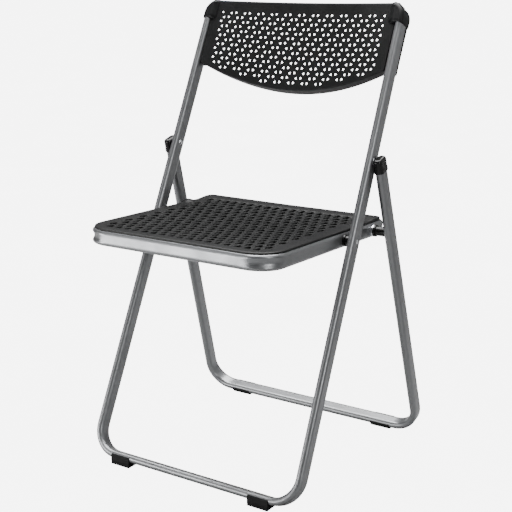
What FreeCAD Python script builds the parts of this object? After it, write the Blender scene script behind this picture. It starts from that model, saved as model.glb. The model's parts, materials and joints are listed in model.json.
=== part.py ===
import FreeCAD, Part
import math
import os
import re
import Sketcher
from FreeCAD import Placement, Rotation, Vector

# Folding chair, in millimetres. Z is up, X runs across the chair and the chair faces -Y.
# The origin is on the floor under the middle of the open chair.

DIMENSIONS = {
    # steel tube, a flat oval
    "tube_wide": 13.0, "tube_deep": 26.0, "tube_wall": 1.2, "bar_height": 12.0,
    # front frame: bar position, half width at the bar, width lost per length, leg length, lean, bend
    "front_bar_y": -180.75, "front_half": 203.5, "front_taper": 0.0131, "front_length": 812.0,
    "front_lean": 24.91, "front_bend": 45.0,
    # rear frame
    "rear_half": 228.3, "rear_taper": 0.0301, "rear_length": 538.5, "rear_lean": 16.55,
    "rear_bend": 45.0,
    # pivots, measured along the front leg from its bar, and the pins in them
    "frame_pivot_at": 564.2, "seat_pivot_at": 430.0, "pin_radius": 3.0, "pin_fit": 0.04,
    "running_gap": 0.06, "head_radius": 4.2, "end_radius": 3.8,
    "head_height": 2.0, "end_height": 0.45, "end_gap": 0.2,
    # seat frame: half width, rail length, tilt, bend, bar to seat pivot, seat pivot to slide pin
    "seat_half": 175.2, "seat_length": 350.0, "seat_tilt": 1.42, "seat_bend": 39.0,
    "seat_reach": 218.4, "slide_reach": 96.2,
    # slide slot in the inner wall of each rear leg
    "slot_low": 292.0, "slot_high": 409.0, "slot_wide": 6.4, "slot_back": 2.8, "slot_cut": 214.6,
    # turned pieces
    "gap": 0.3, "tilt_gap": 0.12, "washer_thick": 0.8, "washer_radius": 7.0, "spacer_radius": 10.0,
    "spacer_neck": 8.0, "spacer_disc": 3.0, "slide_washer_neck": 2.2,
    "slide_washer_thick": 4.6, "slide_washer_radius": 10.2, "bush_disc": 8.0,
    "bush_disc_radius": 9.9, "bush_radius": 8.0, "bush_end": 209.0,
    # caps on the rear legs
    "cap_wall": 1.2, "cap_skirt_wall": 1.7, "cap_low": 518.0, "cap_step": 524.5,
    "cap_high": 541.5, "cap_round": 5.0, "cap_recess": 4.2, "cap_recess_depth": 0.85,
    # feet
    "foot_length": 40.0, "front_foot_x": 140.5, "rear_foot_x": 155.5, "foot_fit": 0.05,
    "foot_round": 1.5,
    # back panel: outline in the frame plane, heights of its front surface, caps on the tube ends
    "panel_top": 834.5, "panel_side_low": 715.6, "panel_low": 680.4, "panel_half": 186.0,
    "panel_skin": 3.0, "panel_wall": 2.4, "panel_edge": 9.0, "panel_high_dip": 6.1,
    "panel_mid_dip": 12.9, "panel_low_dip": 26.1, "lip_deep": 15.3, "lip_extra": 5.4,
    "panel_rear": 15.6, "flange_out": 199.0,
    "top_flange_rear": 11.0, "cap_from": 801.0, "cap_front": 14.8, "cap_rear": 15.6,
    "cap_in": 172.0, "cap_out": 200.9, "cap_corner": 26.0, "cap_soft": 3.0, "cap_socket": 0.3,
    # seat panel
    "seat_top": 2.95, "seat_inset": 2.6, "seat_back": 352.5, "seat_corner": 42.0,
    "seat_back_corner": 9.0, "seat_back_bow": 3.0, "bowl_radius": 155.0, "bowl_deep": 5.0,
    "bowl_at": 168.0, "seat_clear": 0.05, "seat_soft": 2.4, "boss_radius": 5.0, "boss_low": 4.3,
    "boss_x": 156.0, "boss_front": 75.0, "boss_rear": 290.0,
    # brackets, screws, cross tube, end plugs
    "weld": 0.02, "bracket_long": 24.0, "bracket_thick": 2.0, "bracket_in": 149.0,
    "bracket_low": -5.0, "screw_radius": 1.9, "screw_head": 3.8, "screw_head_high": 2.2,
    "screw_long": 9.0, "screw_fit": 0.1, "back_screw_long": 7.0, "back_screw_low": 735.0,
    "back_screw_high": 785.0, "cross_radius": 8.0, "cross_at": 336.0, "plug_long": 12.0,
    "plug_flange": 2.0,
}

doc = FreeCAD.newDocument("FoldingChair")
sheet = doc.addObject("Spreadsheet::Sheet", "Dims")
for row, (alias, number) in enumerate(DIMENSIONS.items(), start=1):
    sheet.set(f"A{row}", alias)
    sheet.set(f"B{row}", str(number))
    sheet.setAlias(f"B{row}", alias)
doc.recompute()

# Formulas used in several places. Angles in the sheet are plain degrees.
FRONT_UP = "cos(front_lean * 1deg)"
FRONT_BACK = "sin(front_lean * 1deg)"
PIVOT_Y = f"front_bar_y + frame_pivot_at * {FRONT_BACK}"
PIVOT_Z = f"bar_height + frame_pivot_at * {FRONT_UP}"
REAR_BAR_Y = f"{PIVOT_Y} + frame_pivot_at * {FRONT_UP} * tan(rear_lean * 1deg)"
REAR_PIVOT_AT = f"(frame_pivot_at * {FRONT_UP} / cos(rear_lean * 1deg))"
SEAT_PIVOT_Y = f"front_bar_y + seat_pivot_at * {FRONT_BACK}"
SEAT_PIVOT_Z = f"bar_height + seat_pivot_at * {FRONT_UP}"
SEAT_Y = f"{SEAT_PIVOT_Y} - seat_reach * cos(seat_tilt * 1deg)"
SEAT_Z = f"{SEAT_PIVOT_Z} + seat_reach * sin(seat_tilt * 1deg)"
SLIDE_Y = f"{SEAT_PIVOT_Y} + slide_reach * cos(seat_tilt * 1deg)"
SLIDE_Z = f"{SEAT_PIVOT_Z} - slide_reach * sin(seat_tilt * 1deg)"
FRONT_AT_PIVOT = "(front_half - front_taper * frame_pivot_at)"
FRONT_AT_SEAT = "(front_half - front_taper * seat_pivot_at)"
REAR_AT_PIVOT = f"(rear_half - rear_taper * {REAR_PIVOT_AT})"
RAIL_OUT = "(seat_half + tube_wide / 2)"
RAIL_IN = "(seat_half - tube_wide / 2)"
SIDES = (("right", 1), ("left", -1))


# ---------------------------------------------------------------- helpers

def cell(text):
    """Turn a formula of alias names into an expression on the spreadsheet."""
    return re.sub(r"[a-z_]+", lambda word: "Dims." + word.group()
                  if word.group() in DIMENSIONS else word.group(), text)


def bind(item, prop, formula):
    item.setExpression(prop, cell(formula))


def number_of(formula):
    answer = sheet.evalExpression(cell(formula))
    return float(getattr(answer, "Value", answer))


def new_body(name):
    body = doc.addObject("PartDesign::Body", name)
    body.Label = name
    return body


def origin_part(body, role):
    return next(item for item in body.Origin.OriginFeatures if item.Role == role)


def place(item, x="0", y="0", z="0", turn="0", swing="0"):
    """Put a piece at x, y, z, turned about X and, inside that, swung about its own Z."""
    formula = (f"create(<<placement>>; create(<<vector>>; {x}; {y}; {z}); "
               f"create(<<rotation>>; create(<<vector>>; 1; 0; 0); ({turn}) * 1deg) * "
               f"create(<<rotation>>; create(<<vector>>; 0; 0; 1); ({swing}) * 1deg))")
    bind(item, "Placement", formula)
    return item


def place_on_front(item):
    return place(item, y="front_bar_y", z="bar_height", turn="90 - front_lean")


def place_on_rear(item):
    return place(item, y=REAR_BAR_Y, z="bar_height", turn="90 + rear_lean")


def place_on_seat(item):
    return place(item, y=SEAT_Y, z=SEAT_Z, turn="-seat_tilt")


def new_sketch(body, name, role="XY_Plane", offset="0", along="0", turn="0"):
    """A sketch on one of the body's own planes, moved along its normal and turned in the plane."""
    sketch = body.newObject("Sketcher::SketchObject", name)
    sketch.AttachmentSupport = [(origin_part(body, role), "")]
    sketch.MapMode = "FlatFace"
    sketch.AttachmentOffset = Placement(Vector(), Rotation(Vector(0, 0, 1), 10))
    bind(sketch, "AttachmentOffset.Base.x", along)
    bind(sketch, "AttachmentOffset.Base.z", offset)
    bind(sketch, "AttachmentOffset.Rotation.Angle", f"({turn}) * 1deg")
    return sketch


def fix_point(sketch, geometry, end, x, y):
    """Hold one point of a sketch at formulas x and y."""
    for axis, kind, formula in ((-2, "DistanceX", x), (-1, "DistanceY", y)):
        if formula == "0":
            sketch.addConstraint(Sketcher.Constraint("PointOnObject", geometry, end, axis))
            continue
        index = sketch.addConstraint(
            Sketcher.Constraint(kind, -1, 1, geometry, end, number_of(formula)))
        bind(sketch, f"Constraints[{index}]", formula)


def set_radius(sketch, geometry, formula):
    index = sketch.addConstraint(Sketcher.Constraint("Radius", geometry, number_of(formula)))
    bind(sketch, f"Constraints[{index}]", formula)


def circle_arc(centre, radius, start, end):
    return Part.ArcOfCircle(Part.Circle(centre, Vector(0, 0, 1), radius), start, end)


def draw_circle(sketch, radius, x="0", y="0"):
    centre = Vector(number_of(x), number_of(y), 0)
    index = sketch.addGeometry(Part.Circle(centre, Vector(0, 0, 1), number_of(radius)), False)
    set_radius(sketch, index, radius)
    fix_point(sketch, index, 3, x, y)


def draw_outline(sketch, corners):
    """A closed outline. Each corner is (x, y), or (x, y, radius) where an arc leaves it;
    a positive radius turns anticlockwise and a negative one clockwise."""
    points = [Vector(number_of(corner[0]), number_of(corner[1]), 0) for corner in corners]
    sides = []
    for index, corner in enumerate(corners):
        start, end = points[index], points[(index + 1) % len(points)]
        if len(corner) == 2:
            sides.append((sketch.addGeometry(Part.LineSegment(start, end), False), 1, 2))
            continue
        radius = number_of(corner[2])
        chord = end - start
        rise = math.sqrt(max(radius ** 2 - (chord.Length / 2) ** 2, 0))
        left = Vector(-chord.y, chord.x, 0).normalize()
        centre = (start + end) * 0.5 + left * math.copysign(rise, radius)
        first, last = (start, end) if radius > 0 else (end, start)
        angles = [math.atan2(point.y - centre.y, point.x - centre.x) for point in (first, last)]
        arc = sketch.addGeometry(circle_arc(centre, abs(radius), *angles), False)
        set_radius(sketch, arc, corner[2] if radius > 0 else f"-({corner[2]})")
        sides.append((arc, 1, 2) if radius > 0 else (arc, 2, 1))
    for index, corner in enumerate(corners):
        geometry, start, end = sides[index]
        following, next_start, _ = sides[(index + 1) % len(sides)]
        sketch.addConstraint(
            Sketcher.Constraint("Coincident", geometry, end, following, next_start))
        fix_point(sketch, geometry, start, corner[0], corner[1])


def draw_oval(sketch, wide, deep, x="0", y="0", lying=False):
    """A flat oval, long along the sketch's Y, or along its X when lying."""
    reach = number_of(f"(({deep}) - ({wide})) / 2")
    radius = number_of(f"({wide}) / 2")
    middle = Vector(number_of(x), number_of(y), 0)
    along, across = Vector(0, 1, 0), Vector(1, 0, 0)
    if lying:
        along, across = Vector(1, 0, 0), Vector(0, -1, 0)
    turn = math.pi / 2 if lying else 0
    right, left = sketch.addGeometry([
        Part.LineSegment(middle + across * radius - along * reach,
                         middle + across * radius + along * reach),
        Part.LineSegment(middle - across * radius + along * reach,
                         middle - across * radius - along * reach)], False)
    far = sketch.addGeometry(circle_arc(middle + along * reach, radius, -turn, math.pi - turn), False)
    near = sketch.addGeometry(
        circle_arc(middle - along * reach, radius, math.pi - turn, 2 * math.pi - turn), False)
    for first, second in ((right, far), (far, left), (left, near), (near, right)):
        sketch.addConstraint(Sketcher.Constraint("Tangent", first, 2, second, 1))
    for arc, sign in ((far, "+"), (near, "-")):
        set_radius(sketch, arc, f"({wide}) / 2")
        shift = f"{sign} (({deep}) - ({wide})) / 2"
        centre = (f"({x}) {shift}", y) if lying else (x, f"({y}) {shift}")
        fix_point(sketch, arc, 3, *centre)


def draw_half_u(sketch, half, taper, length, radius):
    """Half a U on its symmetry line: bar, bend and a leg that closes in by the taper."""
    corner, bend_size = number_of(half), number_of(radius)
    leg_top = Vector(number_of(f"{half} - ({taper}) * {length}"), number_of(length), 0)
    bar, leg = sketch.addGeometry([
        Part.LineSegment(Vector(0, 0, 0), Vector(corner - bend_size, 0, 0)),
        Part.LineSegment(Vector(corner, bend_size, 0), leg_top)], False)
    bend = sketch.addGeometry(
        circle_arc(Vector(corner - bend_size, bend_size, 0), bend_size, -math.pi / 2, 0), False)
    mark = sketch.addGeometry(Part.Point(Vector(corner, 0, 0)), True)
    sketch.addConstraint(Sketcher.Constraint("Coincident", bar, 1, -1, 1))
    sketch.addConstraint(Sketcher.Constraint("Horizontal", bar))
    sketch.addConstraint(Sketcher.Constraint("Tangent", bar, 2, bend, 1))
    sketch.addConstraint(Sketcher.Constraint("Tangent", bend, 2, leg, 1))
    set_radius(sketch, bend, radius)
    fix_point(sketch, mark, 1, half, "0")
    sketch.addConstraint(Sketcher.Constraint("PointOnObject", mark, 1, leg))
    fix_point(sketch, leg, 2, f"{half} - ({taper}) * {length}", length)


def pad(body, sketch, length, symmetric=False, reverse=False, direction=None):
    feature = body.newObject("PartDesign::Pad", sketch.Name + "_pad")
    feature.Profile = sketch
    bind(feature, "Length", length)
    if symmetric:
        feature.SideType = "Symmetric"
    feature.Reversed = reverse
    if direction:
        feature.UseCustomVector = True
        feature.Direction = direction
    doc.recompute()
    return feature


def pocket(body, sketch, length=None, symmetric=False, reverse=False, direction=None):
    """Cut a sketch out of a body, right through when no length is given."""
    before = body.Shape.Volume
    feature = body.newObject("PartDesign::Pocket", sketch.Name + "_cut")
    feature.Profile = sketch
    if length:
        bind(feature, "Length", length)
    else:
        feature.Type = "ThroughAll"
    if symmetric:
        feature.SideType = "Symmetric"
    feature.Reversed = reverse
    if direction:
        feature.UseCustomVector = True
        feature.Direction = direction
    doc.recompute()
    if body.Shape.Volume >= before - 1e-3:
        raise RuntimeError(f"{feature.Name} removes nothing")
    return feature


def revolve(body, sketch, kind):
    """Turn a sketch fully round its own upright axis, adding or removing."""
    feature = body.newObject(kind, sketch.Name + "_turned")
    feature.Profile = sketch
    feature.ReferenceAxis = (sketch, ["V_Axis"])
    feature.Angle = 360
    doc.recompute()
    return feature


def mirror_x(body, features):
    feature = body.newObject("PartDesign::Mirrored", features[-1].Name + "_mirror")
    feature.Originals = features
    feature.MirrorPlane = (origin_part(body, "YZ_Plane"), [""])
    body.Tip = feature
    doc.recompute()
    return feature


def round_edges(body, radius, chosen):
    """Fillet the edges whose middle point passes the test."""
    base = body.Tip
    names = [f"Edge{index}" for index, edge in enumerate(base.Shape.Edges, start=1)
             if chosen(edge.valueAt((edge.FirstParameter + edge.LastParameter) / 2))]
    feature = body.newObject("PartDesign::Fillet", body.Name + "_round")
    feature.Base = (base, names)
    bind(feature, "Radius", radius)
    doc.recompute()
    if feature.Shape.isNull():
        raise RuntimeError(f"{feature.Name} cannot round {names}")
    return feature


def bent_tube(name, half, taper, length, bend):
    """A flat-oval tube bent to a U, swept from the middle of its bar and mirrored."""
    body = new_body(name)
    section = new_sketch(body, name + "_section", "YZ_Plane")
    draw_oval(section, "tube_wide", "tube_deep")
    draw_oval(section, "tube_wide - 2 * tube_wall", "tube_deep - 2 * tube_wall")
    path = new_sketch(body, name + "_path")
    draw_half_u(path, half, taper, length, bend)
    doc.recompute()
    tube = body.newObject("PartDesign::AdditivePipe", name + "_tube")
    tube.Profile = section
    tube.Spine = (path, ["Edge1", "Edge2", "Edge3"])
    doc.recompute()
    mirror_x(body, [tube])
    return body


def drill_across(body, name, radius, along, up="0"):
    """A round hole along X through both sides of a U."""
    sketch = new_sketch(body, name, "YZ_Plane")
    draw_circle(sketch, radius, along, up)
    pocket(body, sketch, symmetric=True)


def turned(name, side, outline, y, z):
    """A piece turned about an axis along X. The outline is (x, radius) on the right-hand side."""
    body = new_body(name)
    sketch = new_sketch(body, name + "_outline")
    draw_outline(sketch, outline)
    turning = body.newObject("PartDesign::Revolution", name + "_turned")
    turning.Profile = sketch
    turning.ReferenceAxis = (origin_part(body, "X_Axis"), [""])
    turning.Angle = 360
    place(body, y=y, z=z, swing="0" if side > 0 else "180")
    doc.recompute()
    return body


def headed_pin(name, side, inner, outer, inner_high, outer_high, y, z):
    """A rivet from one face to another, with a head beyond each."""
    dome = "(({0} ^ 2 + ({1}) ^ 2) / (2 * ({1})))"
    outline = [(f"{inner} - ({inner_high})", "0", "-" + dome.format("head_radius", inner_high)),
               (inner, "head_radius"),
               (inner, "pin_radius"),
               (outer, "pin_radius"),
               (outer, "end_radius", "-" + dome.format("end_radius", outer_high)),
               (f"{outer} + ({outer_high})", "0")]
    return turned(name, side, outline, y, z)


def ring(name, side, inner, outer, hole, radius, y, z):
    outline = [(inner, hole), (outer, hole), (outer, radius), (inner, radius)]
    return turned(name, side, outline, y, z)


# ---------------------------------------------------------------- tube frames

front_frame = bent_tube("front_frame", "front_half", "front_taper", "front_length", "front_bend")
drill_across(front_frame, "frame_pivot_holes", "pin_radius + pin_fit", "frame_pivot_at")
drill_across(front_frame, "seat_pivot_holes", "pin_radius + pin_fit", "seat_pivot_at")
place_on_front(front_frame)

rear_frame = bent_tube("rear_frame", "rear_half", "rear_taper", "rear_length", "rear_bend")
drill_across(rear_frame, "rear_pivot_holes", "pin_radius + running_gap", REAR_PIVOT_AT)
slots = new_sketch(rear_frame, "slide_slots", "YZ_Plane")
draw_oval(slots, "slot_wide", "slot_high - slot_low", "(slot_low + slot_high) / 2", "-slot_back",
          lying=True)
pocket(rear_frame, slots, "2 * slot_cut", symmetric=True)
place_on_rear(rear_frame)

seat_frame = bent_tube("seat_frame", "seat_half", "0", "seat_length", "seat_bend")
drill_across(seat_frame, "rail_pivot_holes", "pin_radius + running_gap", "seat_reach")
drill_across(seat_frame, "rail_slide_holes", "pin_radius + pin_fit", "seat_reach + slide_reach")
place_on_seat(seat_frame)

# ---------------------------------------------------------------- pivots and slides, both sides

for word, side in SIDES:
    front_in, front_out = f"{FRONT_AT_PIVOT} - tube_wide / 2", f"{FRONT_AT_PIVOT} + tube_wide / 2"
    headed_pin(f"frame_pivot_rivet_{word}", side, f"{front_in} - tilt_gap",
               f"{REAR_AT_PIVOT} + tube_wide / 2 + end_gap", "head_height", "end_height",
               PIVOT_Y, PIVOT_Z)
    ring(f"frame_pivot_washer_{word}", side, f"{front_out} + tilt_gap",
         f"{front_out} + tilt_gap + washer_thick", "pin_radius + pin_fit", "washer_radius",
         PIVOT_Y, PIVOT_Z)

    leg_in = f"{FRONT_AT_SEAT} - tube_wide / 2 - tilt_gap"
    leg_out = f"{FRONT_AT_SEAT} + tube_wide / 2 + tilt_gap"
    headed_pin(f"seat_pivot_rivet_{word}", side, f"{RAIL_IN} - gap", leg_out,
               "head_height", "head_height / 2", SEAT_PIVOT_Y, SEAT_PIVOT_Z)
    turned(f"seat_pivot_spacer_{word}", side,
           [(f"{RAIL_OUT} + gap", "pin_radius + pin_fit"), (leg_in, "pin_radius + pin_fit"),
            (leg_in, "spacer_neck"), (f"{RAIL_OUT} + gap + spacer_disc", "spacer_neck"),
            (f"{RAIL_OUT} + gap + spacer_disc", "spacer_radius"),
            (f"{RAIL_OUT} + gap", "spacer_radius")], SEAT_PIVOT_Y, SEAT_PIVOT_Z)

    pin_seat = "bush_end - end_height - gap"
    headed_pin(f"slide_pin_{word}", side, RAIL_IN, pin_seat, "head_height", "end_height",
               SLIDE_Y, SLIDE_Z)
    disc_in, disc_out = f"{RAIL_OUT} + slide_washer_thick", f"{RAIL_OUT} + bush_disc"
    pin_hole, neck = "pin_radius + pin_fit", f"{RAIL_OUT} + slide_washer_neck"
    turned(f"slide_washer_{word}", side,
           [(RAIL_OUT, pin_hole), (disc_in, pin_hole), (disc_in, "slide_washer_radius"),
            (neck, "slide_washer_radius"), (neck, "bush_radius"), (RAIL_OUT, "bush_radius")],
           SLIDE_Y, SLIDE_Z)
    turned(f"slide_bush_{word}", side,
           [(disc_in, "pin_radius + pin_fit"), (pin_seat, "pin_radius + pin_fit"),
            (pin_seat, "cap_recess"), ("bush_end", "cap_recess"), ("bush_end", "bush_radius"),
            (disc_out, "bush_radius"), (disc_out, "bush_disc_radius"),
            (disc_in, "bush_disc_radius")], SLIDE_Y, SLIDE_Z)

# ---------------------------------------------------------------- caps on the rear legs

LEG_ANGLE = "atan(rear_taper)"
for word, side in SIDES:
    cap = new_body(f"rear_cap_{word}")
    outside = new_sketch(cap, f"cap_outside_{word}", "XZ_Plane", "-cap_low")
    draw_oval(outside, "tube_wide + 2 * cap_wall", "tube_deep + 2 * cap_wall")
    pad(cap, outside, "cap_high - cap_low", reverse=True)
    top = number_of("cap_high")
    round_edges(cap, "cap_round", lambda point: point.y > top - 1e-3)
    skirt = new_sketch(cap, f"cap_skirt_{word}", "XZ_Plane", "-cap_low")
    draw_oval(skirt, "tube_wide + 2 * cap_skirt_wall", "tube_deep + 2 * cap_skirt_wall")
    pad(cap, skirt, "cap_step - cap_low", reverse=True)
    socket = new_sketch(cap, f"cap_socket_{word}", "XZ_Plane", "-cap_low")
    draw_oval(socket, "tube_wide + 2 * pin_fit", "tube_deep + 2 * pin_fit")
    pocket(cap, socket, "rear_length + gap - cap_low")
    pin_up = f"{REAR_PIVOT_AT} / cos({LEG_ANGLE})"
    recess = new_sketch(cap, f"cap_recess_{word}", "YZ_Plane")
    draw_circle(recess, "cap_recess", pin_up)
    pocket(cap, recess, "tube_wide / 2 + cap_recess_depth", reverse=side > 0)
    hole = new_sketch(cap, f"cap_hole_{word}", "YZ_Plane")
    draw_circle(hole, "pin_radius + gap", pin_up)
    pocket(cap, hole, reverse=side < 0)
    place(cap, x=f"{side} * rear_half", y=REAR_BAR_Y, z="bar_height", turn="90 + rear_lean",
          swing=f"{side} * {LEG_ANGLE} / 1deg")

# ---------------------------------------------------------------- feet under the two bars

FOOT_OUTLINES = {
    "front": [("-13.8", "0"), ("9.4", "0"), ("13.4", "4.5"), ("13.6", "9"), ("-12", "18.5"),
              ("-14", "16"), ("-14.6", "8")],
    "rear": [("-7", "0"), ("14", "0"), ("15", "9"), ("14.2", "17"), ("12", "19"),
             ("-13.4", "9.5"), ("-13.2", "6"), ("-10", "2.4")],
}
FOOT_PLACES = {"front": ("front_foot_x", "front_bar_y", "-front_lean"),
               "rear": ("rear_foot_x", REAR_BAR_Y, "rear_lean")}
for end, outline in FOOT_OUTLINES.items():
    across, back, lean = FOOT_PLACES[end]
    for word, side in SIDES:
        foot = new_body(f"{end}_foot_{word}")
        shape = new_sketch(foot, f"{end}_foot_shape_{word}", "YZ_Plane")
        draw_outline(shape, outline)
        pad(foot, shape, "foot_length", symmetric=True)
        half = number_of("foot_length / 2")
        round_edges(foot, "foot_round", lambda point: abs(point.x) > half - 1e-3)
        saddle = new_sketch(foot, f"{end}_foot_saddle_{word}", "YZ_Plane", turn=lean)
        draw_oval(saddle, "tube_wide + 2 * foot_fit", "tube_deep + 2 * foot_fit",
                  f"bar_height * sin(({lean}) * 1deg)", f"bar_height * cos(({lean}) * 1deg)",
                  lying=True)
        pocket(foot, saddle, symmetric=True)
        place(foot, x=f"{side} * {across}", y=back)

# ---------------------------------------------------------------- back panel

panel = new_body("back_panel")


def panel_loft(name, deep, extra):
    """The slab behind the curved front surface, as deep as asked and deeper in the middle."""
    sections = []
    for word, height, dip in (("low", "panel_low", "panel_low_dip"),
                              ("mid", "(panel_low + panel_top) / 2", "panel_mid_dip"),
                              ("high", "panel_top", "panel_high_dip")):
        section = new_sketch(panel, f"{name}_{word}", "XZ_Plane", f"-({height})")
        front, rear = ("((panel_half ^ 2 + {0} ^ 2) / (2 * {0}))".format(drop)
                       for drop in (dip, f"({dip} + {extra})"))
        draw_outline(section, [("-panel_half", "panel_edge", front), ("panel_half", "panel_edge"),
                               ("panel_half", f"panel_edge - {deep}", f"-{rear}"),
                               ("-panel_half", f"panel_edge - {deep}")])
        sections.append(section)
    doc.recompute()
    loft = panel.newObject("PartDesign::AdditiveLoft", name + "_loft")
    loft.Profile = sections[0]
    loft.Sections = sections[1:]
    doc.recompute()


curve = "(panel_half ^ 2 + (panel_side_low - panel_low) ^ 2) / (2 * (panel_side_low - panel_low))"
panel_loft("panel_lip", "lip_deep", "lip_extra")
above_lip = new_sketch(panel, "panel_above_lip")
draw_outline(above_lip, [("-panel_half", "panel_side_low + panel_wall", curve),
                         ("panel_half", "panel_side_low + panel_wall"),
                         ("panel_half", "panel_top + 5"), ("-panel_half", "panel_top + 5")])
pocket(panel, above_lip, symmetric=True)
panel_loft("panel_skin", "panel_skin", "0")
lower_edge = new_sketch(panel, "panel_lower_edge")
draw_outline(lower_edge, [("-panel_half", "panel_low - 5"), ("panel_half", "panel_low - 5"),
                          ("panel_half", "panel_side_low", f"-({curve})"),
                          ("-panel_half", "panel_side_low")])
pocket(panel, lower_edge, symmetric=True)

top_flange = new_sketch(panel, "panel_top_flange", "XZ_Plane", "-panel_top")
bow = "(panel_half ^ 2 + panel_high_dip ^ 2) / (2 * panel_high_dip)"
draw_outline(top_flange, [("-panel_half", "-top_flange_rear"), ("panel_half", "-top_flange_rear"),
                          ("panel_half", "panel_edge - 1", f"-({bow})"),
                          ("-panel_half", "panel_edge - 1")])
pad(panel, top_flange, "panel_wall")

wall = new_sketch(panel, "panel_side_wall", "XZ_Plane", "-panel_side_low")
draw_outline(wall, [("panel_half - panel_wall", "-panel_rear"), ("flange_out", "-panel_rear"),
                    ("flange_out", "panel_wall - panel_rear"),
                    ("panel_half", "panel_wall - panel_rear"),
                    ("panel_half", "panel_edge - 1"),
                    ("panel_half - panel_wall", "panel_edge - 1")])
walls = pad(panel, wall, "cap_from + 2 - panel_side_low", reverse=True)
cap_shape = new_sketch(panel, "panel_cap_shape", offset="-cap_rear")
draw_outline(cap_shape, [("cap_in", "cap_from"), ("cap_out", "cap_from"),
                         ("cap_out", "panel_top - cap_corner", "cap_corner"),
                         ("cap_out - cap_corner", "panel_top"), ("cap_in", "panel_top")])
caps = pad(panel, cap_shape, "cap_front + cap_rear")
mirror_x(panel, [walls, caps])
outer = number_of("cap_out - cap_corner") - 1
faces = (number_of("cap_front"), -number_of("cap_rear"))
low = number_of("cap_from") + 2
round_edges(panel, "cap_soft", lambda point: abs(point.x) > outer and point.y > low
            and min(abs(point.z - face) for face in faces) < 1e-3)
for word, side in SIDES:
    socket = new_sketch(panel, f"panel_socket_{word}", "XZ_Plane", "-cap_from")
    draw_oval(socket, "tube_wide + 2 * cap_socket", "tube_deep + 2 * cap_socket",
              f"{side} * (front_half - front_taper * (cap_from + front_length) / 2)")
    pocket(panel, socket, "front_length + gap - cap_from")
    for height in ("low", "high"):
        hole = new_sketch(panel, f"flange_hole_{height}_{word}")
        draw_circle(hole, "screw_radius + screw_fit",
                    f"{side} * (front_half - front_taper * back_screw_{height})",
                    f"back_screw_{height}")
        pocket(panel, hole, "panel_rear + 1")
place_on_front(panel)

for word, side in SIDES:
    for height in ("low", "high"):
        hole = new_sketch(front_frame, f"panel_screw_hole_{height}_{word}")
        draw_circle(hole, "screw_radius + screw_fit",
                    f"{side} * (front_half - front_taper * back_screw_{height})",
                    f"back_screw_{height}")
        pocket(front_frame, hole, "tube_deep / 2 + 1")


def screw_set(name, spots, seat, long, upward=True):
    """Screws standing on one plane: heads below it, shanks above it."""
    body = new_body(name)
    body.AllowCompound = True
    shanks = new_sketch(body, name + "_shanks", offset=f"{seat} - screw_head_high / 2")
    heads = new_sketch(body, name + "_heads", offset=f"{seat} - screw_head_high")
    for x, y in spots:
        draw_circle(shanks, "screw_radius", x, y)
        draw_circle(heads, "screw_head", x, y)
    pad(body, heads, "screw_head_high")
    pad(body, shanks, f"screw_head_high / 2 + {long}")
    return body


back_spots = [(f"{side} * (front_half - front_taper * back_screw_{height})",
               f"back_screw_{height}") for _, side in SIDES for height in ("low", "high")]
place_on_front(screw_set("back_panel_screws", back_spots, "-panel_rear", "back_screw_long"))

# ---------------------------------------------------------------- seat panel and what holds it

seat_panel = new_body("seat_panel")
wide, front, back = f"({RAIL_OUT} - seat_inset)", "(seat_inset - tube_wide / 2)", "seat_back"
bow = f"((({wide} - seat_back_corner) ^ 2 + seat_back_bow ^ 2) / (2 * seat_back_bow))"
plate = new_sketch(seat_panel, "seat_plate", offset="tube_deep / 2 + seat_clear")
draw_outline(plate, [
    (f"seat_corner - {wide}", front), (f"{wide} - seat_corner", front, "seat_corner"),
    (wide, f"{front} + seat_corner"), (wide, f"{back} - seat_back_corner", "seat_back_corner"),
    (f"{wide} - seat_back_corner", back, bow),
    (f"seat_back_corner - {wide}", back, "seat_back_corner"),
    (f"-{wide}", f"{back} - seat_back_corner"), (f"-{wide}", f"{front} + seat_corner",
                                                 "seat_corner")])
pad(seat_panel, plate, "seat_top")
top = number_of("tube_deep / 2 + seat_clear + seat_top")
round_edges(seat_panel, "seat_soft", lambda point: point.z > top - 1e-3)
above = "(tube_deep / 2 + seat_clear + seat_top)"
bowl = "((bowl_radius ^ 2 + bowl_deep ^ 2) / (2 * bowl_deep))"
dish = new_sketch(seat_panel, "seat_dish", "YZ_Plane", along="bowl_at")
draw_outline(dish, [("0", f"{above} - bowl_deep", bowl), ("bowl_radius", above),
                    ("bowl_radius", f"{above} + 1"), ("0", f"{above} + 1")])
revolve(seat_panel, dish, "PartDesign::Groove")
shell = new_sketch(seat_panel, "seat_shell", "YZ_Plane", along="bowl_at")
draw_outline(shell, [("0", f"{above} - bowl_deep - seat_top", bowl),
                     ("bowl_radius", f"{above} - seat_top"), ("bowl_radius", above, f"-{bowl}"),
                     ("0", f"{above} - bowl_deep")])
revolve(seat_panel, shell, "PartDesign::Revolution")
boss_spots = [(f"{side} * boss_x", f"boss_{end}") for _, side in SIDES for end in ("front", "rear")]
bosses = new_sketch(seat_panel, "seat_bosses", offset="boss_low")
for x, y in boss_spots:
    draw_circle(bosses, "boss_radius", x, y)
pad(seat_panel, bosses, "tube_deep / 2 + seat_clear + 1 - boss_low")
pilots = new_sketch(seat_panel, "seat_pilot_holes", offset="boss_low")
for x, y in boss_spots:
    draw_circle(pilots, "screw_radius + screw_fit", x, y)
pocket(seat_panel, pilots, "screw_long - 1", reverse=True)
place_on_seat(seat_panel)

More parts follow.
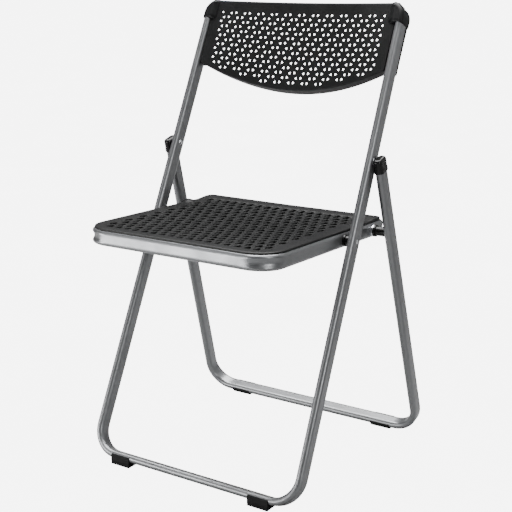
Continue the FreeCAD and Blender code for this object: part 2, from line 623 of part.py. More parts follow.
brackets = new_body("seat_brackets")
brackets.AllowCompound = True
pads = []
for end in ("front", "rear"):
    profile = new_sketch(brackets, f"bracket_{end}", "XZ_Plane",
                         f"-(boss_{end} - bracket_long / 2)")
    outside = f"{RAIL_IN} - weld"
    draw_outline(profile, [
        (outside, "bracket_low"), (outside, "boss_low - 0.2"), ("bracket_in", "boss_low - 0.2"),
        ("bracket_in", "boss_low - 0.2 - bracket_thick"),
        (f"{outside} - bracket_thick", "boss_low - 0.2 - bracket_thick"),
        (f"{outside} - bracket_thick", "bracket_low")])
    pads.append(pad(brackets, profile, "bracket_long", reverse=True))
mirror_x(brackets, pads)
holes = new_sketch(brackets, "bracket_holes")
for x, y in boss_spots:
    draw_circle(holes, "screw_radius + screw_fit", x, y)
pocket(brackets, holes, symmetric=True)
place_on_seat(brackets)
place_on_seat(screw_set("seat_panel_screws", boss_spots, "boss_low - 0.2 - bracket_thick",
                        "screw_long"))

crossbar = new_body("seat_crossbar")
ring_shape = new_sketch(crossbar, "crossbar_ring", "YZ_Plane")
draw_circle(ring_shape, "cross_radius", "cross_at")
draw_circle(ring_shape, "cross_radius - tube_wall", "cross_at")
pad(crossbar, ring_shape, f"2 * ({RAIL_IN} - weld)", symmetric=True)
place_on_seat(crossbar)

for word, side in SIDES:
    plug = new_body(f"seat_end_plug_{word}")
    flange = new_sketch(plug, f"plug_flange_{word}", "XZ_Plane", "-seat_length")
    draw_oval(flange, "tube_wide", "tube_deep", f"{side} * seat_half")
    pad(plug, flange, "plug_flange", reverse=True)
    stem = new_sketch(plug, f"plug_stem_{word}", "XZ_Plane", "-seat_length")
    draw_oval(stem, "tube_wide - 2 * tube_wall - 2 * foot_fit",
              "tube_deep - 2 * tube_wall - 2 * foot_fit", f"{side} * seat_half")
    pad(plug, stem, "plug_long")
    place_on_seat(plug)

# ---------------------------------------------------------------- export

doc.recompute()
for item in doc.Objects:
    if "Invalid" in item.State or "Error" in item.State:
        raise RuntimeError(f"{item.Name} failed: {item.State}")
os.makedirs("parts", exist_ok=True)
for item in doc.Objects:
    if item.TypeId != "PartDesign::Body":
        continue
    if item.Shape.isNull() or not item.Shape.isValid():
        raise RuntimeError(f"{item.Label} has no valid shape")
    item.Shape.exportStep(f"parts/{item.Label}.step")
    print(item.Label, len(item.Shape.Solids), round(item.Shape.Volume), item.Shape.BoundBox)
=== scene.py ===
import json
import math

import bmesh
import bpy
from mathutils import Matrix, Vector
from mathutils.geometry import delaunay_2d_cdt


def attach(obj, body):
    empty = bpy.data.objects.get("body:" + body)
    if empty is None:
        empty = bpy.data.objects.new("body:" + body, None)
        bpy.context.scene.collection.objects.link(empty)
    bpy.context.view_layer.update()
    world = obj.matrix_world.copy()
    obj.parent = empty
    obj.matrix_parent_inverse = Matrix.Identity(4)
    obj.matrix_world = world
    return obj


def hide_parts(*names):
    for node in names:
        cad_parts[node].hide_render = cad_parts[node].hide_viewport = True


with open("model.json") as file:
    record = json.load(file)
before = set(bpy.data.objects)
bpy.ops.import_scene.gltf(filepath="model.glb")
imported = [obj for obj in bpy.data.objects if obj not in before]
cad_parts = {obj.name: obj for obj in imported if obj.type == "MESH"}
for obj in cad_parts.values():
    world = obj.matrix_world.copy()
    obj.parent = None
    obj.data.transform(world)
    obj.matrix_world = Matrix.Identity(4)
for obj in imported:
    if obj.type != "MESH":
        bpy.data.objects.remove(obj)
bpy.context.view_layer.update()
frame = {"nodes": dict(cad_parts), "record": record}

ROOT, SEAT = "front_frame_and_back", "seat"
MM = 0.001
SHARP_ANGLE = 40


# ---------------------------------------------------------------- frames of reference

FRONT_LEAN = math.radians(24.91)
SEAT_TILT = math.radians(1.42)
JOINTS = {joint["name"]: joint for joint in frame["record"]["behaviour"]["joints"]}
BACK_BASE = Vector((0, -0.18075, 0.012))  # middle of the front floor bar
SEAT_PIVOT = Vector(JOINTS["seat_fold"]["pos_m"])
SEAT_REACH = 0.2184  # from the middle of the seat's front bar to the seat pivot
SEAT_BASE = SEAT_PIVOT + Vector((0, -math.cos(SEAT_TILT), math.sin(SEAT_TILT))) * SEAT_REACH


def plane_matrix(base, angle):
    """X across, Y along the part, Z out of its face, as the row frame sees them."""
    return Matrix.Translation(base) @ Matrix.Rotation(angle, 4, "X")


BACK = plane_matrix(BACK_BASE, math.pi / 2 - FRONT_LEAN)
SEAT_PLANE = plane_matrix(SEAT_BASE, -SEAT_TILT)


# ---------------------------------------------------------------- materials

class Nodes:
    """A short way to write a procedural material."""

    def __init__(self, name):
        self.material = bpy.data.materials.new(name)
        self.material.use_nodes = True
        self.tree = self.material.node_tree
        self.shader = self.tree.nodes["Principled BSDF"]
        self.place = self.add("ShaderNodeTexCoord").outputs["Object"]

    def add(self, kind, links=None, **values):
        node = self.tree.nodes.new(kind)
        for name, value in values.items():
            if hasattr(node, name):
                setattr(node, name, value)
            else:
                node.inputs[name.replace("_", " ").title()].default_value = value
        for name, source in (links or {}).items():
            self.tree.links.new(source, node.inputs[name])
        return node

    def noise(self, scale, detail=3.0, roughness=0.5, stretch=None):
        source = self.place
        if stretch:
            source = self.add("ShaderNodeMapping", {"Vector": source}, Scale=stretch).outputs[0]
        return self.add("ShaderNodeTexNoise", {"Vector": source}, Scale=scale, Detail=detail,
                        Roughness=roughness).outputs["Fac"]

    def ramp(self, source, stops):
        node = self.add("ShaderNodeValToRGB", {"Fac": source})
        elements = node.color_ramp.elements
        while len(elements) < len(stops):
            elements.new(0.5)
        for element, (position, colour) in zip(elements, stops):
            element.position = position
            element.color = (*colour, 1) if len(colour) == 3 else colour
        return node.outputs["Color"]

    def spread(self, source, low, high):
        return self.add("ShaderNodeMapRange", {"Value": source}, From_Min=0.3, From_Max=0.7,
                        To_Min=low, To_Max=high).outputs["Result"]

    def bump(self, source, distance, strength=1.0, under=None):
        links = {"Height": source}
        if under:
            links["Normal"] = under
        return self.add("ShaderNodeBump", links, Strength=strength, Distance=distance).outputs[0]

    def blend(self, fac, one, two):
        node = self.add("ShaderNodeMix", data_type="RGBA")
        self.tree.links.new(fac, node.inputs["Factor"])
        self.tree.links.new(one, node.inputs["A"])
        self.tree.links.new(two, node.inputs["B"])
        return node.outputs["Result"]

    def finish(self, colour=None, roughness=None, normal=None, **values):
        for name, source in (("Base Color", colour), ("Roughness", roughness),
                             ("Normal", normal)):
            if source is not None:
                self.tree.links.new(source, self.shader.inputs[name])
        for name, value in values.items():
            self.shader.inputs[name.replace("_", " ")].default_value = value
        return self.material


def grey(*levels):
    return [(level, level * 1.02, level * 1.05) for level in levels]


def paint_material():
    """Silver paint baked on steel: fine flake, slight orange peel, dull rubs."""
    n = Nodes("silver_paint")
    flake = n.noise(1900, 2.0, 0.7)
    patch = n.noise(9, 4.0, 0.55)
    light, mid, dark = grey(0.2, 0.165, 0.13)
    base = n.ramp(flake, [(0.32, dark), (0.5, mid), (0.68, light)])
    worn_light, worn_dark = grey(0.19, 0.145)
    cloud = n.ramp(patch, [(0.3, worn_dark), (0.7, worn_light)])
    colour = n.blend(n.spread(n.noise(3.5, 2.0), 0.25, 0.6), base, cloud)
    rough = n.spread(n.noise(26, 5.0, 0.6), 0.29, 0.4)
    peel = n.bump(n.noise(420, 2.0), 0.00006, 0.5)
    normal = n.bump(flake, 0.00002, 0.5, peel)
    return n.finish(colour, rough, normal, Metallic=0.8, Coat_Weight=0.12, Coat_Roughness=0.22)


def plastic_material(name, levels, rough, grain=0.00008, grain_scale=900, coat=0.0):
    """Moulded plastic: fine grain, cloudy gloss and faint scuffs."""
    n = Nodes(name)
    low, high = grey(*levels)
    cloud = n.ramp(n.noise(14, 4.0, 0.6), [(0.3, low), (0.7, high)])
    scuff_tone = n.ramp(n.noise(60, 3.0, 0.7, (1, 0.25, 1)),
                        [(0.55, low), (0.8, tuple(level * 1.5 for level in high))])
    colour = n.blend(n.spread(n.noise(7, 3.0), 0.1, 0.45), cloud, scuff_tone)
    roughness = n.spread(n.noise(34, 5.0, 0.65), *rough)
    normal = n.bump(n.noise(grain_scale, 2.0, 0.6), grain, 0.55)
    return n.finish(colour, roughness, normal, Specular_IOR_Level=0.12, Coat_Weight=coat,
                    Coat_Roughness=0.12)


def steel_material():
    """Bright plated steel with fine turning marks."""
    n = Nodes("bright_steel")
    low, high = grey(0.55, 0.72)
    colour = n.ramp(n.noise(160, 3.0, 0.6), [(0.3, low), (0.7, high)])
    rough = n.spread(n.noise(220, 3.0), 0.14, 0.3)
    normal = n.bump(n.noise(900, 2.0), 0.00003, 0.5)
    return n.finish(colour, rough, normal, Metallic=1.0)


PAINT = paint_material()
PANEL = plastic_material("charcoal_panel", (0.0035, 0.0055), (0.36, 0.46), 0.00004)
SEAT_PLASTIC = plastic_material("charcoal_seat", (0.0025, 0.004), (0.4, 0.5), 0.00004)
BLACK = plastic_material("black_fitting", (0.0025, 0.004), (0.24, 0.34), 0.00003, coat=0.2)
RUBBER = plastic_material("black_foot", (0.003, 0.006), (0.5, 0.62), 0.00006, 600)
STEEL = steel_material()

FINISH = {"frame_paint": PAINT, "panel_plastic": PANEL, "black_plastic": BLACK,
          "foot_rubber": RUBBER, "bright_steel": STEEL}
for part in frame["record"]["subparts"]:
    mesh = frame["nodes"][part["node"]].data
    mesh.materials.clear()
    mesh.materials.append(FINISH[part["material_slot"]])


# ---------------------------------------------------------------- perforated sheets

def arc_points(centre, radius, start, end, count):
    """Evenly spaced points of an arc, both ends included."""
    return [Vector((centre[0] + radius * math.cos(start + (end - start) * step / count),
                    centre[1] + radius * math.sin(start + (end - start) * step / count)))
            for step in range(count + 1)]


def rounded(corners, step):
    """Outline points of a polygon whose corners (x, y, radius) are rounded off."""
    points = []
    for index, (x, y, radius) in enumerate(corners):
        here = Vector((x, y))
        before = (Vector(corners[index - 1][:2]) - here).normalized()
        after = (Vector(corners[(index + 1) % len(corners)][:2]) - here).normalized()
        if radius <= 0:
            points.append(here)
            continue
        half = before.angle(after) / 2
        reach = radius / math.tan(half)
        centre = here + (before + after).normalized() * (radius / math.sin(half))
        start, end = here + before * reach, here + after * reach
        first = math.atan2(*(start - centre).yx)
        turn = math.atan2(*(end - centre).yx) - first
        turn = (turn + math.pi) % (2 * math.pi) - math.pi
        count = max(2, round(abs(turn) * radius / step))
        points += arc_points(centre, radius, first, first + turn, count)
    return points


def even(points, step):
    """The closed outline again, with no side longer than the step."""
    result = []
    for one, two in zip(points, points[1:] + points[:1]):
        length = (two - one).length
        if length < 1e-6:
            continue
        count = max(1, math.ceil(length / step))
        result += [one.lerp(two, k / count) for k in range(count)]
    return result


def smooth(value):
    """A soft step from 0 to 1."""
    value = min(max(value, 0.0), 1.0)
    return value * value * (3 - 2 * value)


def inside(point, outline):
    """Whether the point lies inside the closed outline."""
    x, y = point
    hit = False
    for one, two in zip(outline, outline[1:] + outline[:1]):
        if (one.y > y) != (two.y > y):
            if x < one.x + (y - one.y) * (two.x - one.x) / (two.y - one.y):
                hit = not hit
    return hit


def grown(outline, amount):
    """A small convex outline, larger by the amount on every side."""
    middle = sum(outline, Vector((0, 0))) / len(outline)
    return [point + (point - middle).normalized() * amount for point in outline]


def triangulate(outline, holes, grid):
    """Triangles of the outline without its holes, with extra points on the grid."""
    coords, edges = [], []
    for loop in [outline] + holes:
        first = len(coords)
        coords += loop
        edges += [(first + k, first + (k + 1) % len(loop)) for k in range(len(loop))]
    coords += grid
    points, _, faces, origin, _, _ = delaunay_2d_cdt(coords, edges, [], 1, 1e-5)
    cells = {}
    for hole in holes:
        middle = sum(hole, Vector((0, 0))) / len(hole)
        cells.setdefault((round(middle.x // 30), round(middle.y // 30)), []).append(hole)
    kept = []
    for face in faces:
        middle = sum((points[k] for k in face), Vector((0, 0))) / len(face)
        column, row = round(middle.x // 30), round(middle.y // 30)
        near = [hole for i in (-1, 0, 1) for j in (-1, 0, 1)
                for hole in cells.get((column + i, row + j), [])]
        if any(inside(middle, hole) for hole in near) or not inside(middle, outline):
            continue
        kept.append(face)
    place = {}
    for index, sources in enumerate(origin):
        for source in sources:
            place[source] = index
    return points, kept, place


def inset(outline, amount):
    """The outline moved inwards by the amount, point by point."""
    result = []
    for before, here, after in zip(outline[-1:] + outline[:-1], outline,
                                   outline[1:] + outline[:1]):
        along = (after - before).normalized()
        result.append(here + Vector((-along.y, along.x)) * amount)
    return result


def plate(bm, outline, holes, grid, top, bottom, width, edge, soft=0.35):
    """Add a plate with rounded holes to the mesh.

    top and bottom give its two heights at a point. The outer width of the plate follows the
    steps of edge: how far out each step is, from 0 to 1, and its height at a point.
    """
    inner = inset(outline, width)
    wide = [grown(hole, soft) for hole in holes]
    points, faces, place = triangulate(inner, wide, grid)
    upper = [bm.verts.new((p.x, p.y, top(p.x, p.y))) for p in points]
    lower = [bm.verts.new((p.x, p.y, bottom(p.x, p.y))) for p in points]
    for face in faces:
        bm.faces.new([upper[k] for k in face])
        bm.faces.new([lower[k] for k in reversed(face)])
    start = len(inner)
    loops = []
    for hole, loop in zip(holes, wide):
        rim = [place[start + k] for k in range(len(hole))]
        start += len(hole)
        upper_wall = [bm.verts.new((p.x, p.y, top(p.x, p.y) - soft)) for p in hole]
        lower_wall = [bm.verts.new((p.x, p.y, bottom(p.x, p.y) + soft)) for p in hole]
        loops.append([[upper[k] for k in rim], upper_wall, lower_wall, [lower[k] for k in rim]])
    rim = [place[k] for k in range(len(inner))]
    rings = [[upper[k] for k in rim]]
    for out, height in edge:
        ring = []
        for near, far in zip(inner, outline):
            p = near.lerp(far, out)
            ring.append(bm.verts.new((p.x, p.y, height(far.x, far.y))))
        rings.append(ring)
    rings.append([lower[k] for k in rim])
    loops.append(rings)
    for rings in loops:
        for one, two in zip(rings, rings[1:]):
            for k in range(len(one)):
                after = (k + 1) % len(one)
                bm.faces.new((one[k], one[after], two[after], two[k]))
    for vertex in [v for v in upper + lower if not v.link_faces]:
        bm.verts.remove(vertex)


def finish_piece(name, bm, matrix, body, nodes, material):
    """Make the mesh, drawn in millimetres on its own plane, the piece that replaces the nodes."""
    mesh = bpy.data.meshes.new(name)
    bmesh.ops.recalc_face_normals(bm, faces=bm.faces)
    bmesh.ops.transform(bm, matrix=matrix @ Matrix.Scale(MM, 4), verts=bm.verts)
    for face in bm.faces:
        face.smooth = True
    bm.to_mesh(mesh)
    bm.free()
    mesh.set_sharp_from_angle(angle=math.radians(SHARP_ANGLE))
    piece = bpy.data.objects.new(name, mesh)
    bpy.context.collection.objects.link(piece)
    mesh.materials.append(material)
    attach(piece, body)
    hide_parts(*nodes)


# ---------------------------------------------------------------- back panel

# Millimetres from here on: x across, s up the frame from the floor bar, heights out of the frame.
BACK_HALF, BACK_TOP, BACK_SIDE, BACK_LOW, BACK_SKIN = 186.0, 834.2, 715.6, 680.4, 3.0
BACK_EDGE, BACK_WALL, BACK_REAR, LIP_DEEP, LIP_EXTRA = 9.0, 2.4, -15.6, 15.3, 5.4
DIP_TOP, DIP_SLOPE, DIP_CURVE = 7.5, 0.0714, 5.37e-4
CAP_IN, CAP_OUT, CAP_LOW, CAP_TOP, CAP_CORNER = 168.0, 200.8, 797.5, 834.5, 26.0
CAP_FRONT, CAP_RISE, CAP_ROUND, FLANGE_OUT, TOP_REAR = 14.8, 8.4, 6.0, 199.0, -11.0
CAP_SLOPE, CAP_CLEAR = 16.0, 0.6
HOLE_ROWS, ROW_TOP, ROW_PITCH, HOLE_PITCH, HOLE_OFF = 15, 811.5, 8.45, 28.0, 4.85
HOLE_BASE, HOLE_TIP, HOLE_TALL, HOLE_CORNER = 2.1, 3.3, 3.2, 0.5


def back_dip(s):
    """How deep the panel bows backwards in the middle, more towards its lower edge."""
    down = ROW_TOP - s
    return DIP_TOP + DIP_SLOPE * down + DIP_CURVE * down * down


def back_top(x, s):
    return BACK_EDGE - back_dip(s) * (1 - (x / BACK_HALF) ** 2)


def back_bottom(x, s):
    return back_top(x, s) - BACK_SKIN


def back_holes():
    """Rows of paired rounded triangles whose flat sides face each other."""
    places = []
    for row in range(HOLE_ROWS):
        s = ROW_TOP - ROW_PITCH * row
        if row % 2 == 0:
            limit = 2 if row == HOLE_ROWS - 1 else 5
            middles = [HOLE_PITCH * j for j in range(-limit, limit + 1)]
            if row < HOLE_ROWS - 3:
                places += [(-6 * HOLE_PITCH + HOLE_OFF, s, 1), (6 * HOLE_PITCH - HOLE_OFF, s, -1)]
        else:
            limit = 4 if row == HOLE_ROWS - 2 else 6
            middles = [HOLE_PITCH * (j + 0.5) for j in range(-limit, limit)]
        for middle in middles:
            places += [(middle - HOLE_OFF, s, -1), (middle + HOLE_OFF, s, 1)]
    holes = []
    for x, s, way in places:
        corners = [(x - HOLE_BASE * way, s - HOLE_TALL, HOLE_CORNER),
                   (x + HOLE_TIP * way, s, HOLE_CORNER),
                   (x - HOLE_BASE * way, s + HOLE_TALL, HOLE_CORNER)]
        holes.append(rounded(corners[::way], 0.7))
    return holes


def back_rear(x, s):
    """How far back the walls round the panel go."""
    if s > BACK_TOP - 0.5 and abs(x) < BACK_HALF - 0.5:
        return TOP_REAR
    if abs(x) > BACK_HALF - 0.5 and s > BACK_SIDE + 0.5:
        return BACK_REAR + 0.1
    bend = 1 - (x / BACK_HALF) ** 2
    return BACK_EDGE - LIP_DEEP - (back_dip(s) + LIP_EXTRA) * bend


ROUNDING_ANGLES = (0, 22.5, 45, 67.5, 90)


def rounding(height, radius, width, upward=1):
    """Steps of an edge rounded off between a face and its wall."""
    steps = []
    for angle in ROUNDING_ANGLES:
        turn = math.radians(angle)
        out = 1 - radius * (1 - math.sin(turn)) / width
        drop = upward * radius * (1 - math.cos(turn))
        steps.append((out, lambda x, s, drop=drop: height(x, s) - drop))
    return steps if upward > 0 else steps[::-1]


def block(bm, corners, low, high, radius):
    """A flat block, its edges rounded."""
    outline = even(rounded(corners, 3), 6)
    width = radius + CAP_CLEAR
    plate(bm, outline, [], [], lambda x, s: high, lambda x, s: low, width,
          rounding(lambda x, s: high, radius, width)
          + rounding(lambda x, s: low, radius, width, -1))


def cap_front(x, s):
    """The corner caps rise out of the panel's face."""
    return CAP_FRONT - CAP_RISE * (1 - smooth((abs(x) - CAP_IN) / CAP_SLOPE))


def cap_rear(x, s):
    """They are full only outside the panel's side walls."""
    return BACK_REAR if abs(x) > BACK_HALF - 1 else cap_front(x, s) - BACK_SKIN


def back_cap(bm, side):
    """A corner cap, drawn over the panel's corner and the end of the tube."""
    corners = [(side * CAP_IN, CAP_LOW, 2), (side * CAP_OUT, CAP_LOW, 2),
               (side * CAP_OUT, CAP_TOP, CAP_CORNER), (side * CAP_IN, CAP_TOP, 2)]
    outline = even(rounded(corners[::side], 2), 3)
    width = CAP_ROUND + CAP_CLEAR
    inner = inset(outline, width + 0.5)
    grid = [Vector((side * x, s)) for x in range(170, 200, 2) for s in range(800, 834, 3)]
    grid = [p for p in grid if inside(p, inner)]
    plate(bm, outline, [], grid, cap_front, cap_rear, width,
          rounding(cap_front, CAP_ROUND, width)
          + [(1, lambda x, s: cap_rear(x, s) + CAP_CLEAR)])


def back_panel():
    """The bowed, perforated panel with its walls, lower lip, caps and rear flanges."""
    radius = (BACK_HALF ** 2 + (BACK_SIDE - BACK_LOW) ** 2) / (2 * (BACK_SIDE - BACK_LOW))
    centre = (0, BACK_LOW + radius)
    angle = math.asin(BACK_HALF / radius)
    lower = arc_points(centre, radius, -math.pi / 2 - angle, -math.pi / 2 + angle, 90)
    outline = even(lower + [Vector((BACK_HALF, BACK_TOP)), Vector((-BACK_HALF, BACK_TOP))], 5)
    grid = [Vector((x, s)) for x in range(-180, 181, 6) for s in range(686, 829, 6)
            if math.hypot(x, s - centre[1]) < radius - 5]
    bm = bmesh.new()
    width, round_in, round_down, round_down_top = 4.0, 1.5, 1.5, 3.6

    def front_round(s):
        return round_down_top if s > BACK_TOP - 0.5 else round_down

    edge = []
    for angle in ROUNDING_ANGLES:
        turn = math.radians(angle)
        edge.append((1 - round_in * (1 - math.sin(turn)) / width,
                     lambda x, s, drop=1 - math.cos(turn): back_top(x, s)
                     - drop * front_round(s)))
    edge += [(1, back_rear), (1 - BACK_WALL / width, back_rear),
             (1 - BACK_WALL / width, lambda x, s: back_bottom(x, s))]
    plate(bm, outline, back_holes(), grid, back_top, back_bottom, width, edge)
    for side in (-1, 1):
        flange_in, flange_top = BACK_HALF - 0.6, CAP_LOW + 2
        flange = [(side * flange_in, BACK_SIDE, 0.5), (side * FLANGE_OUT, BACK_SIDE, 2),
                  (side * FLANGE_OUT, flange_top, 0.5), (side * flange_in, flange_top, 0.5)]
        back_cap(bm, side)
        block(bm, flange[::side], BACK_REAR, BACK_REAR + BACK_WALL, 0.5)
    finish_piece("back_panel_shell", bm, BACK, ROOT, ["back_panel"], PANEL)


back_panel()


# ---------------------------------------------------------------- seat panel

# x across, y back from the middle of the front bar, heights above the middle of the seat's tube.
SEAT_HALF, SEAT_FRONT, SEAT_BACK, SEAT_BOW = 179.1, -3.9, 352.5, 3.0
SEAT_CORNER, SEAT_BACK_CORNER = 46.0, 9.0
SEAT_TOP, SEAT_THICK, BOWL_DEEP, BOWL_RADIUS, BOWL_AT = 16.0, 2.95, 5.0, 155.0, 168.0
SLOT_PITCH, SLOT_ROW, SLOT_WIDE, SLOT_LONG = 17.75, 19.3, 7.4, 15.8
SLOT_FIRST, SLOT_LEAN, SLOT_CORNER = 22.0, 1.0, 2.5
WOVEN_HALF, WOVEN_FRONT, WOVEN_REAR, WOVEN_FADE = 157.0, 13.0, 323.0, 5.0
STRAND_DEEP, STRAND_UNDER, WOVEN_DEEPER = 2.1, 0.45, 2.2
RIM_ROLL, SEAT_SKIRT, REAR_LIFT, REAR_LIFT_AT, REAR_LIFT_LONG = 9.0, 11.9, 2.5, 305.0, 32.0
EAR_HIGH, EAR_AT, EAR_LONG, EAR_IN, EAR_WIDE = 5.2, 273.0, 20.0, 158.0, 14.0


def woven_distance(x, y):
    """How far a point lies inside the woven area's border."""
    return min(WOVEN_HALF - abs(x), y - WOVEN_FRONT, WOVEN_REAR - y)


def bowl(x, y):
    """How far the seat is dished."""
    return BOWL_DEEP * max(0, 1 - (x * x + (y - BOWL_AT) ** 2) / BOWL_RADIUS ** 2)


def seat_lift(x, y):
    """The rear rim turns up a little, and each side has a low ear beside the slide."""
    ear = smooth((abs(x) - EAR_IN) / EAR_WIDE) * smooth(1 - abs(y - EAR_AT) / EAR_LONG)
    return REAR_LIFT * smooth((y - REAR_LIFT_AT) / REAR_LIFT_LONG) + EAR_HIGH * ear


def seat_top(x, y):
    """The top, with raised strands one way and lower strands the other between the slots."""
    weave = smooth(woven_distance(x, y) / WOVEN_FADE)
    u, v = x / SLOT_PITCH, (y - SLOT_FIRST) / SLOT_ROW
    over = 0.5 - 0.5 * math.cos(2 * math.pi * (u + 1.5 * v))
    under = 0.5 - 0.5 * math.cos(2 * math.pi * (u - 0.5 * v))
    strand = max(over, STRAND_UNDER * under)
    return SEAT_TOP + seat_lift(x, y) - bowl(x, y) - weave * STRAND_DEEP * (1 - strand)


def seat_bottom(x, y):
    deeper = WOVEN_DEEPER * smooth(woven_distance(x, y) / WOVEN_FADE)
    return SEAT_TOP - SEAT_THICK - bowl(x, y) - deeper


def seat_holes():
    """Rows of slots, each row half a pitch aside from the one before."""
    holes = []
    half, long = SLOT_WIDE / 2, SLOT_LONG / 2
    for row in range(17):
        y = SLOT_FIRST + SLOT_ROW * row
        shift = SLOT_PITCH / 2 if row % 2 else 0
        for column in range(-10, 11):
            x = column * SLOT_PITCH + shift
            if woven_distance(x, y) < WOVEN_FADE:
                continue
            corners = [(x - half - SLOT_LEAN, y - long, SLOT_CORNER),
                       (x + half - SLOT_LEAN, y - long, SLOT_CORNER),
                       (x + half + SLOT_LEAN, y + long, SLOT_CORNER),
                       (x - half + SLOT_LEAN, y + long, SLOT_CORNER)]
            holes.append(rounded(corners, 1.5))
    return holes


def seat_panel():
    """The dished seat with its woven area, plain rim and skirt."""
    corners = [(-SEAT_HALF, SEAT_FRONT, SEAT_CORNER), (SEAT_HALF, SEAT_FRONT, SEAT_CORNER),
               (SEAT_HALF, SEAT_BACK, SEAT_BACK_CORNER), (0, SEAT_BACK - SEAT_BOW, 0),
               (-SEAT_HALF, SEAT_BACK, SEAT_BACK_CORNER)]
    outline = even(rounded(corners, 2.5), 4)
    inner = inset(outline, RIM_ROLL + 0.8)
    fine = 2.4
    grid = [Vector((x * fine + (fine / 2 if y % 2 else 0), y * fine))
            for x in range(-73, 73) for y in range(0, 148)]
    grid = [p for p in grid if inside(p, inner)]
    edge = [(out, lambda x, y, drop=drop: SEAT_TOP + seat_lift(x, y) - drop)
            for out, drop in ((0.35, 0.0), (0.65, 0.2), (0.85, 0.5), (0.95, 0.9), (1.0, 1.4))]
    edge += [(1.0, lambda x, y: SEAT_SKIRT), (0.9, lambda x, y: SEAT_SKIRT),
             (0.8, lambda x, y: SEAT_TOP - SEAT_THICK)]
    bm = bmesh.new()
    plate(bm, outline, seat_holes(), grid, seat_top, seat_bottom, RIM_ROLL, edge, 0.5)
    finish_piece("seat_panel_shell", bm, SEAT_PLANE, SEAT, ["seat_panel"],
                 SEAT_PLASTIC)


seat_panel()


# ---------------------------------------------------------------- seat frame

TUBE_HALF, TUBE_ROUND, TUBE_TALL = 6.49, 6.49, 13.0
FRAME_HALF, FRAME_BEND, FRAME_REAR, DENT, DENT_HALF = 175.2, 39.0, 350.0, 3.2, 7.5


def frame_path():
    """Stations of the seat tube: middle, outward direction and how much the bend dents it."""
    stations = []
    for y in range(int(FRAME_REAR), int(FRAME_BEND), -12):
        stations.append((Vector((FRAME_HALF, y)), Vector((1, 0)), 0.0))
    centre = Vector((FRAME_HALF - FRAME_BEND, FRAME_BEND))
    steps = 24
    for step in range(-4, steps + 5):
        turn = min(max(step / steps, 0), 1) * math.pi / 2
        out = Vector((math.cos(turn), -math.sin(turn)))
        along = Vector((-math.sin(turn), -math.cos(turn)))
        past = 3.0 * (step if step < 0 else max(0, step - steps))
        bend = math.sin(math.pi * (step + 4) / (steps + 8)) ** 2
        stations.append((centre + out * FRAME_BEND + along * past, out, bend))
    mirrored = [(Vector((-p.x, p.y)), Vector((-out.x, out.y)), bend)
                for p, out, bend in reversed(stations)]
    return stations + mirrored


def tube_section(dent):
    """The flat oval of the tube, its outer side pressed in by the dent."""
    points = []
    for middle, first in ((TUBE_TALL - TUBE_ROUND, 0), (TUBE_ROUND - TUBE_TALL, math.pi)):
        points += arc_points((0, middle), TUBE_ROUND, first, first + math.pi, 10)
        side = -1 if first == 0 else 1
        points += [Vector((side * TUBE_HALF, side * z)) for z in (-4.6, -2.3, 0, 2.3, 4.6)]
    result = []
    for point in points:
        if point.x > 0:
            press = dent * max(0, 1 - (point.y / DENT_HALF) ** 2)
            point = Vector((point.x - press * min(1, point.x / TUBE_HALF), point.y))
        result.append(point)
    return result


def seat_frame():
    """The seat's tube, swept along its path."""
    bm = bmesh.new()
    rings = []
    for middle, out, bend in frame_path():
        ring = []
        for a, z in tube_section(DENT * bend):
            spot = middle + out * a
            ring.append(bm.verts.new((spot.x, spot.y, z)))
        rings.append(ring)
    for one, two in zip(rings, rings[1:]):
        for k in range(len(one)):
            after = (k + 1) % len(one)
            bm.faces.new((one[k], one[after], two[after], two[k]))
    for ring in (rings[0], rings[-1]):
        bm.faces.new(ring)
    finish_piece("seat_frame_tube", bm, SEAT_PLANE, SEAT, ["seat_frame"], PAINT)


seat_frame()


# ---------------------------------------------------------------- floor, lights and camera

def emit_area(name, place, target, size, power, size_y=None):
    light = bpy.data.lights.new(name, "AREA")
    light.shape = "RECTANGLE"
    light.size = size
    light.size_y = size_y or size
    light.energy = power
    lamp = bpy.data.objects.new(name, light)
    lamp.location = place
    lamp.rotation_euler = (Vector(target) - Vector(place)).to_track_quat("-Z", "Y").to_euler()
    bpy.context.collection.objects.link(lamp)


# Metres again.
SURROUND, SKY_RISE, DOME_GLOW, DOME_RADIUS, FLOOR_HALF = 5.0, 1.2, 0.2, 45.0, 60.0
CARD_LIFT, CAMERA_DISTANCE = 0.0005, 1.8792


def flag(name, place, size, turn, material):
    """A grey card that the chair reflects and the camera does not see."""
    mesh = bpy.data.meshes.new(name)
    wide, high = size
    corners = [(-wide, 0, -high), (wide, 0, -high), (wide, 0, high), (-wide, 0, high)]
    mesh.from_pydata(corners, [], [(0, 1, 2, 3)])
    mesh.materials.append(material)
    card = bpy.data.objects.new(name, mesh)
    card.location = place
    card.rotation_euler = turn
    card.visible_camera = False
    bpy.context.collection.objects.link(card)


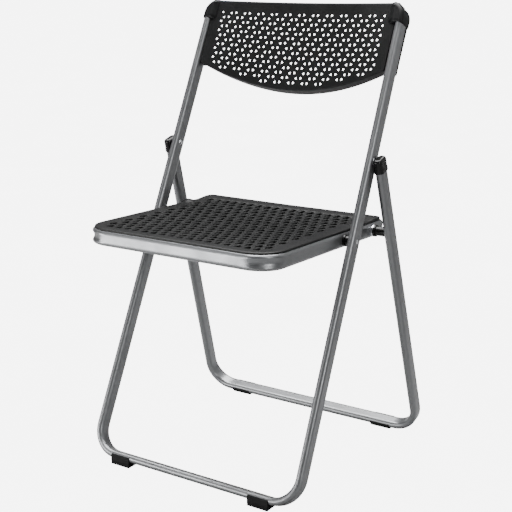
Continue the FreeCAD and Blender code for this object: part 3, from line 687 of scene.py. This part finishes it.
def studio():
    """A pale floor that glows like a lit cyclorama, soft lights and what the steel reflects."""
    floor_mesh = bpy.data.meshes.new("floor")
    bm = bmesh.new()
    bmesh.ops.create_grid(bm, x_segments=1, y_segments=1, size=FLOOR_HALF)
    bm.to_mesh(floor_mesh)
    bm.free()
    floor = bpy.data.objects.new("floor", floor_mesh)
    n = Nodes("pale_floor")
    colour = n.ramp(n.noise(2, 2.0), [(0.3, (0.9, 0.9, 0.9)), (0.7, (0.93, 0.93, 0.93))])
    floor_mesh.materials.append(n.finish(colour, n.spread(n.noise(5), 0.7, 0.8),
                                         Emission_Color=(1, 1, 1, 1), Emission_Strength=SURROUND))
    bpy.context.collection.objects.link(floor)
    world = bpy.data.worlds.new("studio")
    world.use_nodes = True
    world.node_tree.nodes["Background"].inputs["Color"].default_value = (1, 1, 1, 1)
    world.node_tree.nodes["Background"].inputs["Strength"].default_value = SURROUND * SKY_RISE
    bpy.context.scene.world = world
    middle = (0, 0, 0.4)
    emit_area("key", (2.05, -1.05, 1.2), middle, 0.3, 26, size_y=1.4)
    emit_area("fill", (-1.6, -2.2, 1.5), middle, 0.5, 8, size_y=1.2)
    emit_area("low", (-0.85, -1.35, 0.06), (-0.1, -0.2, 0.4), 1.4, 40, size_y=0.6)
    emit_area("top", (-0.4, 0.4, 3.0), middle, 3.0, 430)
    n = Nodes("grey_flag")
    tone = n.ramp(n.noise(3), [(0.3, (0.27, 0.27, 0.27)), (0.7, (0.31, 0.31, 0.31))])
    cloth = n.finish(tone, n.spread(n.noise(5), 0.8, 0.9), Specular_IOR_Level=0.1)
    flag("flag_right", (0.62, 0.9, 0.8), (0.9, 0.8), (0, 0, math.pi / 2), cloth)
    flag("flag_ground", (0, 0, CARD_LIFT), (FLOOR_HALF, FLOOR_HALF), (math.pi / 2, 0, 0), cloth)
    dome(dim_sky())


def dim_sky():
    """A dim sky for reflections, dimmer still on the right-hand side."""
    n = Nodes("dim_sky")
    across = n.add("ShaderNodeSeparateXYZ", {"Vector": n.place}).outputs["X"]
    fall = n.add("ShaderNodeMapRange", {"Value": across}, From_Min=0.0,
                 From_Max=0.5 * DOME_RADIUS, To_Min=DOME_GLOW, To_Max=DOME_GLOW / 4)
    n.tree.links.new(fall.outputs["Result"], n.shader.inputs["Emission Strength"])
    tone = n.ramp(n.noise(0.05), [(0.3, (0.01, 0.01, 0.01)), (0.7, (0.02, 0.02, 0.02))])
    return n.finish(tone, n.spread(n.noise(0.1), 0.8, 0.9), Specular_IOR_Level=0.0,
                    Emission_Color=(0.98, 0.99, 1, 1))


def dome(material):
    """A dome that the chair reflects and the camera does not see."""
    mesh = bpy.data.meshes.new("dome")
    bm = bmesh.new()
    bmesh.ops.create_uvsphere(bm, u_segments=48, v_segments=24, radius=DOME_RADIUS)
    bm.to_mesh(mesh)
    bm.free()
    mesh.materials.append(material)
    sky = bpy.data.objects.new("dome", mesh)
    sky.visible_camera = False
    bpy.context.collection.objects.link(sky)


def camera():
    """The camera stands in front, to the right and a little above the chair."""
    azimuth, elevation = math.radians(33.331), math.radians(14.403)
    back = Vector((math.sin(azimuth) * math.cos(elevation),
                   -math.cos(azimuth) * math.cos(elevation), math.sin(elevation)))
    target = Vector((1.25, 14.3, 347.1)) * MM
    data = bpy.data.cameras.new("camera")
    data.sensor_width = 36
    data.lens = 76.71
    cam = bpy.data.objects.new("camera", data)
    cam.location = target + back * CAMERA_DISTANCE
    cam.rotation_euler = back.to_track_quat("Z", "Y").to_euler()
    bpy.context.collection.objects.link(cam)
    bpy.context.scene.camera = cam


studio()
camera()
